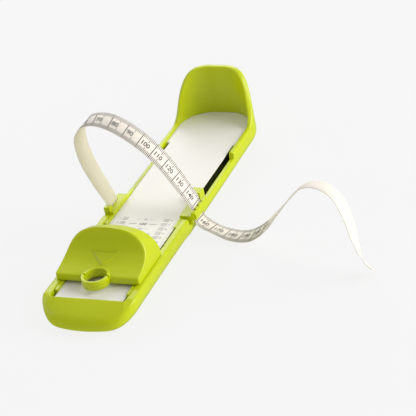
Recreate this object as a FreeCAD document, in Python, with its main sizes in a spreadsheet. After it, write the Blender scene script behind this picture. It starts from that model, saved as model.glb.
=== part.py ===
"""A toddler's foot measuring device: a tray with a heel cup, a sliding toe stop and a tape on a carriage.

Millimetres. X is across, Y runs from the nose (-) to the heel (+), Z is up. The origin is the middle of the
underside, which rests on the floor. The foot lies on the scale plate with its heel in the cup.
"""

import FreeCAD
import Part
import math
import os
import re
import Sketcher

from FreeCAD import Placement, Rotation, Vector

# ---------------------------------------------------------------- driving dimensions (mm)
DIMENSIONS = {
    # the four overall sizes
    "tray_length": 231.0,
    "plate_half_width": 21.3,
    "deck_height": 12.5,
    "heel_height": 46.2,
    # tray: its sides spread from the heel to the nose
    "slot_width": 2.3,
    "nose_side": 5.6,
    "heel_side": 2.5,
    "nose_bow": 2.0,
    "nose_bow_radius": 60.0,
    "nose_corner_radius": 18.0,
    "heel_corner_radius": 21.5,
    "belly_radius": 9.5,
    "rail_rise": 2.9,
    "rail_outer_radius": 1.4,
    "low_rail_drop": 4.6,
    "low_rail_lead": 0.4,
    "low_rail_end": 11.3,
    "deck_thickness": 2.2,
    "nose_length": 14.0,
    "nose_ledge": 12.5,
    "nose_drop": 4.4,
    "nose_top_radius": 5.0,
    # heel cup
    "heel_wall": 4.4,
    "heel_inner_radius": 19.0,
    "rim_foot_inset": 21.0,
    "rim_foot_radius": 12.0,
    "rim_knee_inset": 5.5,
    "rim_knee_drop": 1.0,
    "rim_knee_radius": 7.0,
    # slots in the deck, either side of the scale plate
    "slot_front_inset": 3.5,
    "slot_back_inset": 44.2,
    # cavity under the deck, stepped in towards the cover
    "cavity_front_inset": 1.5,
    "cavity_back_inset": 19.5,
    "cavity_step_inset": 3.6,
    "mouth_side_inset": 10.1,
    "mouth_end_inset": 3.0,
    "cover_thickness": 2.0,
    "cover_ledge": 2.2,
    "cover_seat": 1.6,
    "cover_gap": 0.15,
    # scale plate
    "plate_thickness": 1.0,
    "plate_gap": 0.15,
    # running fits, and how far a cut runs past the face that it opens
    "slide_gap": 0.2,
    "lift_gap": 0.3,
    "cut_past": 5.0,
    "weld": 0.5,
    # toe slider: a dished face between a low front lip and a high crown, shaped like a shield from the front
    "slider_inset": 15.6,
    "slider_depth": 32.4,
    "slider_overhang": 2.6,
    "lip_rise": 3.8,
    "peak_depth": 23.0,
    "peak_rise": 22.2,
    "back_drop": 3.7,
    "dish_depth": 18.2,
    "dish_rise": 8.0,
    "dish_radius": 14.0,
    "shoulder_rise": 17.8,
    "shoulder_radius": 19.0,
    "ridge_rise": 1.0,
    "crown_radius": 45.0,
    "slider_wall": 2.4,
    "hollow_side": 9.5,
    "hollow_roof": 6.2,
    "runner_gap": 3.2,
    "runner_back_inset": 2.5,
    "runner_drop": 0.4,
    # keeper and bridge: plates under the deck whose tongues snap into the legs in the slots
    "keeper_inset": 2.9,
    "keeper_length": 18.0,
    "keeper_thickness": 2.4,
    "keeper_drop": 0.3,
    "keeper_floor_gap": 0.4,
    "tongue_inset": 3.0,
    "tongue_thickness": 1.2,
    "tongue_reach": 1.5,
    "snap_gap": 0.05,
    # reading ring
    "ring_offset": 0.8,
    "ring_radius": 8.4,
    "ring_wall": 1.8,
    "ring_rise": 1.8,
    "ring_foot_gap": 2.0,
    "index_slit": 1.1,
    "index_slit_depth": 1.8,
    # tape
    "tape_width": 12.0,
    "tape_thickness": 0.5,
    "tape_play": 0.4,
    "tape_centre": -6.5,
    "right_tape_offset": 5.6,
    "left_tape_offset": 1.8,
    # carriage: a leg in each slot, the left one carries the clamp and the right one the guide
    "leg_overrun": 9.9,
    "leg_back_overrun": 4.1,
    "leg_drop": 0.6,
    "bridge_inset": 1.6,
    "bridge_back_inset": 3.6,
    "block_front_wall": 2.2,
    "clamp_back_wall": 5.7,
    "guide_rise": 1.0,
    "guide_bar": 3.2,
    "guide_bar_rise": 2.3,
    "guide_bar_radius": 1.6,
    "guide_bar_foot_rise": 2.9,
    "guide_bar_wall": 3.5,
    "far_web_wall": 10.0,
    "far_web_rise": 2.0,
    "far_web_inset": 1.6,
    "clamp_reach": 3.8,
    "clamp_slot_rise": 1.9,
    "clamp_grip": 3.5,
    "clamp_stop": 3.4,
    "clamp_stop_rise": 2.8,
    "tooth_gap": 1.4,
    "tooth_depth": 1.7,
    "tooth_height": 2.0,
    "tooth_pitch": 4.6,
    # pin that holds the tape's end
    "pin_radius": 0.5,
    "pin_rise": 1.3,
    "pin_inset": 0.3,
    "pin_cover": 0.4,
    # screws that hold the cover
    "screw_radius": 1.25,
    "screw_head_radius": 2.3,
    "screw_head_height": 1.1,
    "screw_head_recess": 0.1,
    "screw_length": 7.6,
    "pilot_gap": 0.5,
    "boss_radius": 3.0,
    "screw_side_inset": 5.5,
    "screw_end_inset": 6.0,
}

# What follows from them. A formula uses the dimensions above and the places before it.
PLACES = {
    # half widths, out from the scale plate
    "slot_outer": "plate_half_width + slot_width",
    "nose_half_width": "slot_outer + nose_side",
    "heel_half_width": "slot_outer + heel_side",
    "cavity_step_half_width": "slot_outer - cavity_step_inset",
    "mouth_half_width": "slot_outer - mouth_side_inset",
    "screw_across": "mouth_half_width - screw_side_inset",
    "slider_half_width": "slot_outer + slider_overhang",
    "leg_inner": "plate_half_width + slide_gap",
    "leg_outer": "slot_outer - slide_gap",
    "left_tape_place": "slot_outer + left_tape_offset",
    "right_tape_place": "slot_outer + right_tape_offset",
    "guide_outer": "right_tape_place + guide_bar",
    "clamp_outer": "slot_outer + clamp_reach",
    "pin_inner_end": "slot_outer + pin_inset",
    "pin_outer_end": "clamp_outer - pin_cover",
    # heights, from the deck up and down
    "rail_height": "deck_height + rail_rise",
    "low_rail_height": "rail_height - low_rail_drop",
    "nose_height": "rail_height - nose_drop",
    "rim_knee_height": "heel_height - rim_knee_drop",
    "deck_underside": "deck_height - deck_thickness",
    "keeper_top": "deck_underside - keeper_drop",
    "keeper_bottom": "keeper_top - keeper_thickness",
    "tongue_bottom": "keeper_bottom + (keeper_thickness - tongue_thickness) / 2",
    "tongue_top": "tongue_bottom + tongue_thickness",
    "cavity_floor": "keeper_bottom - keeper_floor_gap",
    "cavity_step_floor": "cover_thickness + cover_seat",
    "slider_base": "rail_height + lift_gap",
    "lip_top": "slider_base + lip_rise",
    "dish_height": "slider_base + dish_rise",
    "shoulder_height": "slider_base + shoulder_rise",
    "slider_top": "slider_base + peak_rise",
    "slider_back_top": "slider_top - back_drop",
    "hollow_top": "slider_back_top - hollow_roof",
    "runner_top": "rail_height - runner_drop",
    "ring_foot": "deck_height + plate_thickness + ring_foot_gap",
    "ring_top": "lip_top + ring_rise",
    "leg_top": "rail_height - leg_drop",
    "block_floor": "low_rail_height + lift_gap",
    "guide_top": "rail_height + guide_rise",
    "guide_bar_foot": "block_floor + guide_bar_foot_rise",
    "guide_bar_top": "guide_top + guide_bar_rise",
    "far_web_top": "guide_bar_top + far_web_rise",
    "clamp_slot_floor": "block_floor + clamp_slot_rise",
    "clamp_top": "clamp_slot_floor + clamp_grip",
    "clamp_stop_top": "clamp_top + clamp_stop_rise",
    "pin_height": "clamp_slot_floor + pin_rise",
    # lengths, from the nose and the heel
    "nose": "-tray_length / 2",
    "heel": "tray_length / 2",
    "well_front": "nose + nose_length",
    "slot_front": "well_front + slot_front_inset",
    "slot_back": "heel - slot_back_inset",
    "low_rail_back": "slot_back - low_rail_end",
    "cavity_front": "well_front + cavity_front_inset",
    "cavity_back": "heel - cavity_back_inset",
    "mouth_front": "cavity_front + mouth_end_inset",
    "mouth_back": "cavity_back - mouth_end_inset",
    "rim_foot": "heel - rim_foot_inset",
    "rim_knee": "heel - rim_knee_inset",
    "slider_front": "well_front + slider_inset",
    "dish_corner": "slider_front + dish_depth",
    "slider_peak": "slider_front + peak_depth",
    "slider_back": "slider_front + slider_depth",
    "runner_front": "slot_front + runner_gap",
    "runner_back": "slider_back - runner_back_inset",
    "keeper_front": "slider_front + keeper_inset",
    "keeper_back": "keeper_front + keeper_length",
    "ring_centre": "slider_front - ring_offset",
    # lengths of the carriage, out from the edges of the tape
    "tape_front": "tape_centre - tape_width / 2 - tape_play",
    "tape_back": "tape_centre + tape_width / 2 + tape_play",
    "block_front": "tape_front - block_front_wall",
    "clamp_back": "tape_back + clamp_back_wall",
    "guide_bar_back": "tape_back + guide_bar_wall",
    "leg_front": "block_front - leg_overrun",
    "far_web_back": "tape_back + far_web_wall",
    "leg_back": "far_web_back + leg_back_overrun",
    "bridge_front": "block_front + bridge_inset",
    "bridge_back": "clamp_back - bridge_back_inset",
    "low_rail_front": "block_front - low_rail_lead",
}

# The tape's middle line. Loop: (across, up) in the plane of the tape's centre. Free end: (along, up) in an
# upright plane that starts in the right guide and turns towards the nose.
LOOP_ROUTE = [
    (-25.4, 13.2), (-25.4, 20.6), (-29.0, 28.6), (-34.2, 37.8), (-37.6, 48.2), (-38.0, 60.2), (-33.6, 70.6),
    (-24.8, 75.3), (-14.8, 73.9), (-3.6, 67.0), (6.8, 57.6), (15.0, 46.8), (21.2, 35.4), (25.8, 26.6),
    (29.2, 20.4), (29.2, 10.9),
]
FREE_ROUTE = [
    (0.0, 10.9), (2.2, 7.2), (7.2, 4.4), (14.8, 2.6), (25.0, 1.6), (37.0, 5.0), (49.0, 14.2), (61.5, 27.0),
    (73.5, 41.0), (83.5, 48.6), (94.0, 50.0), (103.0, 45.2), (109.0, 34.0), (112.8, 21.2), (116.4, 12.0),
    (120.6, 6.8), (126.2, 4.0),
]
FREE_TURN = -10.0          # degrees
CORNER_SHARE = 0.45
VOLUME_SLACK = 0.02
PICK_SLACK = 0.02          # mm between an edge and the place that picks it

HOMES = {**dict.fromkeys(DIMENSIONS, "Dimensions"), **dict.fromkeys(PLACES, "Places")}
WORDS = re.compile(r"[a-z][a-z_]+")
WORKING_CELL = "A1"

doc = FreeCAD.newDocument("FootGauge")


def with_cells(formula, inside=None):
    """A formula with each named size written as a cell of its sheet, and left bare inside that sheet."""
    def cell(match):
        word = match.group(0)
        home = HOMES.get(word)
        return word if home in (None, inside) else f"{home}.{word}"
    return WORDS.sub(cell, formula)


def new_sheet(name, cells):
    """A spreadsheet with a row for each named cell."""
    sheet = doc.addObject("Spreadsheet::Sheet", name)
    for row, (alias, content) in enumerate(cells.items(), start=1):
        sheet.set(f"A{row}", alias)
        sheet.set(f"B{row}", content)
        sheet.setAlias(f"B{row}", alias)
    doc.recompute()
    return sheet


new_sheet("Dimensions", {alias: str(number) for alias, number in DIMENSIONS.items()})
new_sheet("Places", {alias: f"={with_cells(formula, 'Places')}" for alias, formula in PLACES.items()})
working = new_sheet("Working", {})


def size(formula):
    """The value in mm of a formula of named sizes, worked out in a sheet of its own."""
    working.set(WORKING_CELL, f"={with_cells(formula)}")
    working.recompute()
    return float(working.get(WORKING_CELL))


def bind(item, prop, formula):
    """Tie one property of an object to a formula of named sizes."""
    item.setExpression(prop, with_cells(formula))


def new_body(label):
    body = doc.addObject("PartDesign::Body", label)
    body.Label = label
    return body


def origin_plane(body, role):
    return next(item for item in body.Origin.OriginFeatures if item.Role == role)


def polygon(body, name, role, corners, offset=None):
    """A closed sketch on an origin plane, each corner a pair of formulas tied to the sheet."""
    sketch = body.newObject("Sketcher::SketchObject", name)
    sketch.AttachmentSupport = [(origin_plane(body, role), "")]
    sketch.MapMode = "FlatFace"
    if offset:
        bind(sketch, "AttachmentOffset.Base.z", offset)
    spots = [Vector(size(across), size(along), 0) for across, along in corners]
    for start, end in zip(spots, spots[1:] + spots[:1]):
        sketch.addGeometry(Part.LineSegment(start, end))
    count = len(corners)
    for index in range(count):
        sketch.addConstraint(Sketcher.Constraint("Coincident", index, 2, (index + 1) % count, 1))
    for index, pair in enumerate(corners):
        for axis, formula in zip("XY", pair):
            place = spots[index].x if axis == "X" else spots[index].y
            number = sketch.addConstraint(Sketcher.Constraint(f"Distance{axis}", -1, 1, index, 1, place))
            bind(sketch, f"Constraints[{number}]", formula)
    return sketch


def pad(body, sketch, length):
    feature = body.newObject("PartDesign::Pad", sketch.Name + "Pad")
    feature.Profile = sketch
    bind(feature, "Length", length)
    return feature


def pocket(body, sketch, length):
    """Cut a sketch away to both sides of its plane."""
    feature = body.newObject("PartDesign::Pocket", sketch.Name + "Pocket")
    feature.Profile = sketch
    feature.Midplane = True
    bind(feature, "Length", length)
    return feature


def box(body, name, across, along, up, cut=False):
    """A box in a body, added or cut away, from three pairs of formulas (low, high)."""
    kind = "Subtractive" if cut else "Additive"
    feature = body.newObject(f"PartDesign::{kind}Box", name)
    for prop, axis, (low, high) in zip(("Length", "Width", "Height"), "xyz", (across, along, up)):
        bind(feature, prop, f"({high}) - ({low})")
        bind(feature, f"Placement.Base.{axis}", low)
    return feature


def cylinder(body, name, centre, up, radius, cut=False):
    """An upright cylinder in a body, added or cut away, at a centre of two formulas."""
    kind = "Subtractive" if cut else "Additive"
    feature = body.newObject(f"PartDesign::{kind}Cylinder", name)
    bind(feature, "Radius", radius)
    bind(feature, "Height", f"({up[1]}) - ({up[0]})")
    for axis, formula in zip("xyz", (*centre, up[0])):
        bind(feature, f"Placement.Base.{axis}", formula)
    return feature


def fillet(body, name, radius, wanted):
    """Round every edge of the body's newest feature that the test picks."""
    doc.recompute()
    base = body.Tip
    names = [f"Edge{n}" for n, edge in enumerate(base.Shape.Edges, start=1) if wanted(edge)]
    if not names:
        raise RuntimeError(f"{name} finds no edge to round")
    feature = body.newObject("PartDesign::Fillet", name)
    feature.Base = (base, names)
    bind(feature, "Radius", radius)
    doc.recompute()
    return feature


def near(value, goal):
    return abs(value - goal) < PICK_SLACK


def upright(edge):
    """True for a straight edge along Z."""
    bounds = edge.BoundBox
    return near(bounds.XLength, 0) and near(bounds.YLength, 0) and not near(bounds.ZLength, 0)


def level(edge, height):
    """True for an edge that lies at one height."""
    bounds = edge.BoundBox
    return near(bounds.ZLength, 0) and near(bounds.ZMin, height)


def lies_along(edge):
    """True for a straight edge along Y."""
    bounds = edge.BoundBox
    return near(bounds.XLength, 0) and near(bounds.ZLength, 0) and not near(bounds.YLength, 0)


def mirrored(sign, low, high):
    """A pair of formulas across X, on the right as given or mirrored to the left."""
    return (low, high) if sign > 0 else (f"-({high})", f"-({low})")


SIDES = (("Left", -1), ("Right", 1))
COVER_SCREWS = [(across, along) for across in ("-screw_across", "screw_across")
                for along in ("mouth_front + screw_end_inset", "mouth_back - screw_end_inset")]


# ---------------------------------------------------------------- tray
def tray():
    """The moulded tray: rails either side of the deck, a blunt nose and the heel cup, in one piece."""
    body = new_body("tray")
    plan = [("0", "nose"), ("nose_half_width", "nose + nose_bow"), ("heel_half_width", "heel"),
            ("-heel_half_width", "heel"), ("-nose_half_width", "nose + nose_bow")]
    pad(body, polygon(body, "TrayPlan", "XY_Plane", plan), "heel_height")
    fillet(body, "NoseBow", "nose_bow_radius", lambda e: upright(e) and near(e.BoundBox.XMin, 0))
    fillet(body, "NoseCorners", "nose_corner_radius",
           lambda e: upright(e) and near(abs(e.BoundBox.XMin), size("nose_half_width")))
    blank = fillet(body, "HeelCorners", "heel_corner_radius",
                   lambda e: upright(e) and near(e.BoundBox.YMin, size("heel")))
    top_face = max(blank.Shape.Faces, key=lambda face: face.BoundBox.ZMin)
    outline, outline_height = top_face.OuterWire, top_face.BoundBox.ZMin

    side = [("nose - cut_past", "heel_height + cut_past"), ("nose - cut_past", "nose_height"),
            ("nose", "nose_height"), ("nose + nose_ledge", "rail_height"),
            ("rim_foot", "rail_height"), ("rim_knee", "rim_knee_height"),
            ("heel", "heel_height"), ("heel + cut_past", "heel_height + cut_past")]
    pocket(body, polygon(body, "TraySide", "YZ_Plane", side), "nose_half_width * 2 + cut_past")

    def crosses(edge, along):
        """True for an edge straight across the tray at one place along it."""
        bounds = edge.BoundBox
        return near(bounds.YLength, 0) and near(bounds.YMin, size(along)) and not near(bounds.XLength, 0)

    def outer_top(edge):
        """True for an edge that runs round the outside of the plan, above the underside."""
        middle = edge.valueAt((edge.FirstParameter + edge.LastParameter) / 2)
        spot = Part.Vertex(Vector(middle.x, middle.y, outline_height))
        on_outline = near(spot.distToShape(outline)[0], 0)
        return on_outline and not upright(edge) and not level(edge, 0)

    fillet(body, "NoseTop", "nose_top_radius", lambda e: crosses(e, "nose + nose_ledge"))
    fillet(body, "RimFoot", "rim_foot_radius", lambda e: crosses(e, "rim_foot"))
    fillet(body, "RimKnee", "rim_knee_radius", lambda e: crosses(e, "rim_knee"))
    fillet(body, "OuterEdge", "rail_outer_radius", outer_top)
    fillet(body, "Belly", "belly_radius", lambda e: level(e, 0))

    for side_name, sign in SIDES:
        box(body, f"LowRail{side_name}", mirrored(sign, "slot_outer", "nose_half_width + cut_past"),
            ("low_rail_front", "low_rail_back"), ("low_rail_height", "rail_height + cut_past"), cut=True)
    above = ("deck_height", "heel_height + cut_past")
    cup_back = "heel - heel_wall"
    cup_centre = f"{cup_back} - heel_inner_radius"
    cup_middle = "slot_outer - heel_inner_radius"
    box(body, "Well", ("-slot_outer", "slot_outer"), ("well_front", cup_centre), above, cut=True)
    box(body, "Cup", (f"-({cup_middle})", cup_middle), ("well_front", cup_back), above, cut=True)
    for side_name, sign in SIDES:
        centre = (cup_middle if sign > 0 else f"-({cup_middle})", cup_centre)
        cylinder(body, f"CupCorner{side_name}", centre, above, "heel_inner_radius", cut=True)

    for side_name, sign in SIDES:
        box(body, f"Slot{side_name}", mirrored(sign, "plate_half_width", "slot_outer"),
            ("slot_front", "slot_back"), ("cavity_floor", "deck_height + cut_past"), cut=True)
    steps = [("Cavity", "slot_outer", "cavity_front", "cavity_back", "cavity_floor"),
             ("CavityStep", "cavity_step_half_width", "cavity_front", "cavity_back", "cavity_step_floor"),
             ("Mouth", "mouth_half_width", "mouth_front", "mouth_back", "-cut_past")]
    for name, half, front, back, floor in steps:
        box(body, name, (f"-{half}", half), (front, back), (floor, "deck_underside"), cut=True)
    box(body, "CoverRebate", ("-mouth_half_width - cover_ledge", "mouth_half_width + cover_ledge"),
        ("mouth_front - cover_ledge", "mouth_back + cover_ledge"), ("-cut_past", "cover_thickness"), cut=True)
    for number, centre in enumerate(COVER_SCREWS, start=1):
        cylinder(body, f"Boss{number}", centre, ("cover_thickness", "deck_underside"), "boss_radius")
        cylinder(body, f"Pilot{number}", centre, ("cover_thickness", "screw_length + pilot_gap"),
                 "screw_radius", cut=True)
    return body


# ---------------------------------------------------------------- plate, cover and its screws
def scale_plate():
    """The white plate with the scale: narrow between the slots, wide where it runs into the heel cup."""
    body = new_body("scale_plate")
    front, back = "well_front + plate_gap", "heel - heel_wall - plate_gap"
    narrow, wide = "plate_half_width", "slot_outer - plate_gap"
    step = "slot_back + plate_gap"
    right = [(narrow, front), (narrow, step), (wide, step), (wide, back)]
    left = [(f"-({across})", along) for across, along in reversed(right)]
    sketch = polygon(body, "PlatePlan", "XY_Plane", right + left, offset="deck_height")
    pad(body, sketch, "plate_thickness")
    fillet(body, "PlateCorners", "heel_inner_radius - plate_gap",
           lambda e: upright(e) and near(e.BoundBox.YMin, size(back)))
    return body


def base_cover():
    """The flat cover that closes the cavity from below, flush with the underside."""
    body = new_body("base_cover")
    half = "mouth_half_width + cover_ledge - cover_gap"
    box(body, "Sheet", (f"-({half})", half),
        ("mouth_front - cover_ledge + cover_gap", "mouth_back + cover_ledge - cover_gap"),
        ("0", "cover_thickness"))
    for number, centre in enumerate(COVER_SCREWS, start=1):
        cylinder(body, f"Hole{number}", centre, ("-cut_past", "cover_thickness + cut_past"),
                 "screw_radius + snap_gap", cut=True)
        cylinder(body, f"Sink{number}", centre, ("-cut_past", "screw_head_height"),
                 "screw_head_radius + snap_gap", cut=True)
    return body


def revolved_screw(name, centre):
    """One cover screw: a flat head below and a shank that bites into the tray's boss."""
    head = doc.addObject("Part::Cylinder", f"{name}Head")
    shank = doc.addObject("Part::Cylinder", f"{name}Shank")
    for item, radius, low, high in ((head, "screw_head_radius", "screw_head_recess", "screw_head_height"),
                                    (shank, "screw_radius", "screw_head_height", "screw_length")):
        bind(item, "Radius", radius)
        bind(item, "Height", f"{high} - {low}")
        for axis, formula in zip("xyz", (*centre, low)):
            bind(item, f"Placement.Base.{axis}", formula)
    screw = doc.addObject("Part::MultiFuse", name)
    screw.Shapes = [head, shank]
    return screw


def cover_screws():
    """The four cover screws, one group of separate solids."""
    group = doc.addObject("Part::Compound", "cover_screws")
    group.Links = [revolved_screw(f"Screw{number}", centre) for number, centre in enumerate(COVER_SCREWS, 1)]
    group.Label = "cover_screws"
    return group


# ---------------------------------------------------------------- legs and the plates that join them
def leg(body, name, sign, along, top, plate):
    """A leg in one slot, with a foot below the deck whose window takes the tongue of the plate."""
    across = mirrored(sign, "leg_inner", "leg_outer")
    box(body, f"{name}Rail", across, along, ("keeper_top", top))
    box(body, f"{name}Foot", across, plate, ("keeper_bottom", top))
    front, back = plate
    box(body, f"{name}Window", mirrored(sign, "plate_half_width", "slot_outer"),
        (f"{front} + tongue_inset - snap_gap", f"{back} - tongue_inset + snap_gap"),
        ("tongue_bottom - snap_gap", "tongue_top + snap_gap"), cut=True)


def joining_plate(label, front, back):
    """A plate under the deck from one leg to the other, held by a tongue in each leg's window."""
    body = new_body(label)
    box(body, "Plate", ("-leg_inner", "leg_inner"), (front, back), ("keeper_bottom", "keeper_top"))
    box(body, "Tongues", ("-leg_inner - tongue_reach", "leg_inner + tongue_reach"),
        (f"{front} + tongue_inset", f"{back} - tongue_inset"), ("tongue_bottom", "tongue_top"))
    return body


# ---------------------------------------------------------------- toe slider and its reading ring
def toe_slider():
    """The sliding toe stop: a dished shield on two runners that ride in the slots."""
    body = new_body("toe_slider")
    half = "slider_half_width"
    shield = [(f"-{half}", "slider_base"), (half, "slider_base"), (half, "shoulder_height"),
              ("0", "slider_top + ridge_rise"), (f"-{half}", "shoulder_height")]
    sketch = polygon(body, "Shield", "XZ_Plane", shield, offset="-slider_back")
    pad(body, sketch, "slider_depth")
    fillet(body, "Crown", "crown_radius", lambda e: lies_along(e) and near(e.BoundBox.XMin, 0))
    fillet(body, "Shoulders", "shoulder_radius",
           lambda e: lies_along(e) and near(e.BoundBox.ZMin, size("shoulder_height")))
    face = [("slider_front - cut_past", "lip_top"), ("slider_front", "lip_top"),
            ("dish_corner", "dish_height"), ("slider_peak", "slider_top"),
            ("slider_back", "slider_back_top"), ("slider_back + cut_past", "slider_back_top"),
            ("slider_back + cut_past", "slider_top + cut_past"),
            ("slider_front - cut_past", "slider_top + cut_past")]
    pocket(body, polygon(body, "Dish", "YZ_Plane", face), "slider_half_width * 2 + cut_past")
    fillet(body, "DishFoot", "dish_radius",
           lambda e: near(e.BoundBox.YLength, 0) and near(e.BoundBox.YMin, size("dish_corner")))
    box(body, "Hollow", (f"-{half} + hollow_side", f"{half} - hollow_side"),
        ("slider_peak", "slider_back - slider_wall"), ("0", "hollow_top"), cut=True)
    for side_name, sign in SIDES:
        leg(body, f"Leg{side_name}", sign, ("runner_front", "runner_back"), "runner_top",
            ("keeper_front", "keeper_back"))
        box(body, f"Web{side_name}", mirrored(sign, "leg_inner", "leg_outer"),
            ("slider_front", "runner_back"), ("runner_top", "slider_base + weld"))
    cylinder(body, "RingSeat", ("0", "ring_centre"), ("0", "slider_top + cut_past"), "ring_radius", cut=True)
    return body


def reading_ring():
    """The open ring at the slider's lip, with an index slit at each side to read the scale by."""
    body = new_body("reading_ring")
    centre = ("0", "ring_centre")
    cylinder(body, "Wall", centre, ("ring_foot", "ring_top"), "ring_radius")
    cylinder(body, "Eye", centre, ("0", "ring_top + cut_past"), "ring_radius - ring_wall", cut=True)
    box(body, "Slit", ("-ring_radius - cut_past", "ring_radius + cut_past"),
        ("ring_centre - index_slit / 2", "ring_centre + index_slit / 2"),
        ("ring_top - index_slit_depth", "ring_top + cut_past"), cut=True)
    return body


# ---------------------------------------------------------------- tape carriage
def tape_slot(body, sign, place, floor):
    """The upright slot that the tape runs through or is clamped in."""
    half = "(tape_thickness + tape_play) / 2"
    box(body, "TapeSlot", mirrored(sign, f"{place} - {half}", f"{place} + {half}"),
        ("tape_front", "tape_back"), (floor, "far_web_top + cut_past"), cut=True)


def right_tape_guide():
    """The right half of the carriage: the tape runs down between its block and a notched outer bar."""
    body = new_body("right_tape_guide")
    leg(body, "Leg", 1, ("leg_front", "leg_back"), "leg_top", ("bridge_front", "bridge_back"))
    box(body, "Block", ("leg_inner", "right_tape_place"), ("block_front", "guide_bar_back"),
        ("block_floor", "guide_top"))
    box(body, "Bar", ("right_tape_place", "guide_outer"), ("block_front", "guide_bar_back"),
        ("guide_bar_foot", "guide_bar_top"))
    fillet(body, "BarEdge", "guide_bar_radius",
           lambda e: lies_along(e) and near(e.BoundBox.XMin, size("guide_outer"))
           and near(e.BoundBox.ZMin, size("guide_bar_top")))
    box(body, "FarWeb", ("leg_inner", "right_tape_place - far_web_inset"), ("guide_bar_back", "far_web_back"),
        ("block_floor", "far_web_top"))
    tape_slot(body, 1, "right_tape_place", "0")
    for number, shift in enumerate(("- tooth_pitch", "", "+ tooth_pitch"), start=1):
        middle = f"tape_centre {shift}"
        box(body, f"Tooth{number}", ("right_tape_place", "right_tape_place + tooth_depth"),
            (f"{middle} - tooth_gap / 2", f"{middle} + tooth_gap / 2"),
            ("guide_bar_top - tooth_height", "guide_bar_top + cut_past"), cut=True)
    return body


def left_tape_clamp():
    """The left half of the carriage: the tape's end stands in its slot, held by a pin."""
    body = new_body("left_tape_clamp")
    leg(body, "Leg", -1, ("leg_front", "leg_back"), "leg_top", ("bridge_front", "bridge_back"))
    box(body, "Block", mirrored(-1, "leg_inner", "clamp_outer"), ("block_front", "clamp_back"),
        ("block_floor", "clamp_top"))
    box(body, "Stop", mirrored(-1, "slot_outer", "clamp_outer"), ("block_front", "block_front + clamp_stop"),
        ("block_floor", "clamp_stop_top"))
    tape_slot(body, -1, "left_tape_place", "clamp_slot_floor")
    bore = body.newObject("PartDesign::SubtractiveCylinder", "PinBore")
    lay_across(bore, "pin_radius")
    return body


def lay_across(item, radius):
    """Turn a cylinder on its side, along X, through the left tape's clamped end."""
    bind(item, "Radius", radius)
    bind(item, "Height", "pin_outer_end - pin_inner_end")
    item.Placement = Placement(Vector(0, 0, 0), Rotation(Vector(0, 1, 0), 90))
    for axis, formula in zip("xyz", ("-pin_outer_end", "tape_centre", "pin_height")):
        bind(item, f"Placement.Base.{axis}", formula)


def tape_pin():
    """The pin through the clamp and the tape's end."""
    pin = doc.addObject("Part::Cylinder", "tape_pin")
    lay_across(pin, "pin_radius")
    pin.Label = "tape_pin"
    return pin


# ---------------------------------------------------------------- tape
def corner(before, after):
    """Half the turn from one run to the next, how much of each the arc takes, and its radius."""
    half_turn = before.getAngle(after) / 2
    cut_back = CORNER_SHARE * min(before.Length, after.Length)
    return half_turn, cut_back, cut_back / math.tan(half_turn)


def middle_length(runs):
    """The length of the route with its corners rounded."""
    length = sum(run.Length for run in runs)
    for half_turn, cut_back, radius in map(corner, runs, runs[1:]):
        length -= 2 * (cut_back - radius * half_turn)
    return length


def tape_side(spots, runs, reach):
    """The edges of one long side of the tape, and its two ends, at a reach from the route."""
    def moved_over(spot, run):
        return spot + Vector(-run.y, run.x, 0).normalize() * reach

    first = last = moved_over(spots[0], runs[0])
    edges = []
    for spot, before, after in zip(spots[1:], runs, runs[1:]):
        half_turn, cut_back, radius = corner(before, after)
        into, out_of = Vector(before).normalize(), Vector(after).normalize()
        inward = (out_of - into).normalize()
        centre = spot + inward * (radius / math.cos(half_turn))
        start = moved_over(spot - into * cut_back, before)
        finish = moved_over(spot + out_of * cut_back, after)
        bulge = centre - inward * (start - centre).Length
        edges += [Part.LineSegment(last, start).toShape(), Part.Arc(start, bulge, finish).toShape()]
        last = finish
    end = moved_over(spots[-1], runs[-1])
    edges.append(Part.LineSegment(last, end).toShape())
    return edges, first, end


def ribbon_section(spots, runs, thickness):
    """A closed face round a route in the XY plane: runs joined by tangent arcs, one thickness wide."""
    upper, first, last = tape_side(spots, runs, thickness / 2)
    lower, other_first, other_last = tape_side(spots, runs, -thickness / 2)
    caps = [Part.LineSegment(last, other_last).toShape(), Part.LineSegment(other_first, first).toShape()]
    return Part.Face(Part.Wire(Part.sortEdges(upper + lower + caps)[0]))


def ribbon(label, route, turn, origin):
    """A flat strip of tape along a planar route, its width square to the route's plane."""
    width, thickness = size("tape_width"), size("tape_thickness")
    spots = [Vector(across, up, 0) for across, up in route]
    runs = [end - start for start, end in zip(spots, spots[1:])]
    length = middle_length(runs)
    radii = [round(corner(before, after)[2], 1) for before, after in zip(runs, runs[1:])]
    print(label, "length", round(length, 1), "radii", radii)
    solid = ribbon_section(spots, runs, thickness).extrude(Vector(0, 0, width))
    solid.translate(Vector(0, 0, -width / 2))
    if abs(solid.Volume / (length * width * thickness) - 1) > VOLUME_SLACK:
        raise RuntimeError(f"{label} has the wrong volume")
    upright_plane = Rotation(Vector(1, 0, 0), 90)
    solid.Placement = Placement(origin, Rotation(Vector(0, 0, 1), turn) * upright_plane) * solid.Placement
    return solid


def strip(label, shape):
    item = doc.addObject("Part::Feature", label)
    item.Shape = shape
    item.Label = label
    return item


def tape_loop():
    """The tape from the clamp up over the foot and down into the right guide, with the pin's hole."""
    shape = ribbon("tape_loop", LOOP_ROUTE, 0, Vector(0, size("tape_centre"), 0))
    hole = Part.makeCylinder(size("pin_radius"), size("pin_outer_end - pin_inner_end"),
                             Vector(-size("pin_outer_end"), size("tape_centre"), size("pin_height")),
                             Vector(1, 0, 0))
    return strip("tape_loop", shape.cut(hole))


def tape_free_end():
    """The tape below the right guide: it bends out over the table and rises in a wave to its free tip."""
    origin = Vector(size("right_tape_place"), size("tape_centre"), 0)
    return strip("tape_free_end", ribbon("tape_free_end", FREE_ROUTE, FREE_TURN, origin))


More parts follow.
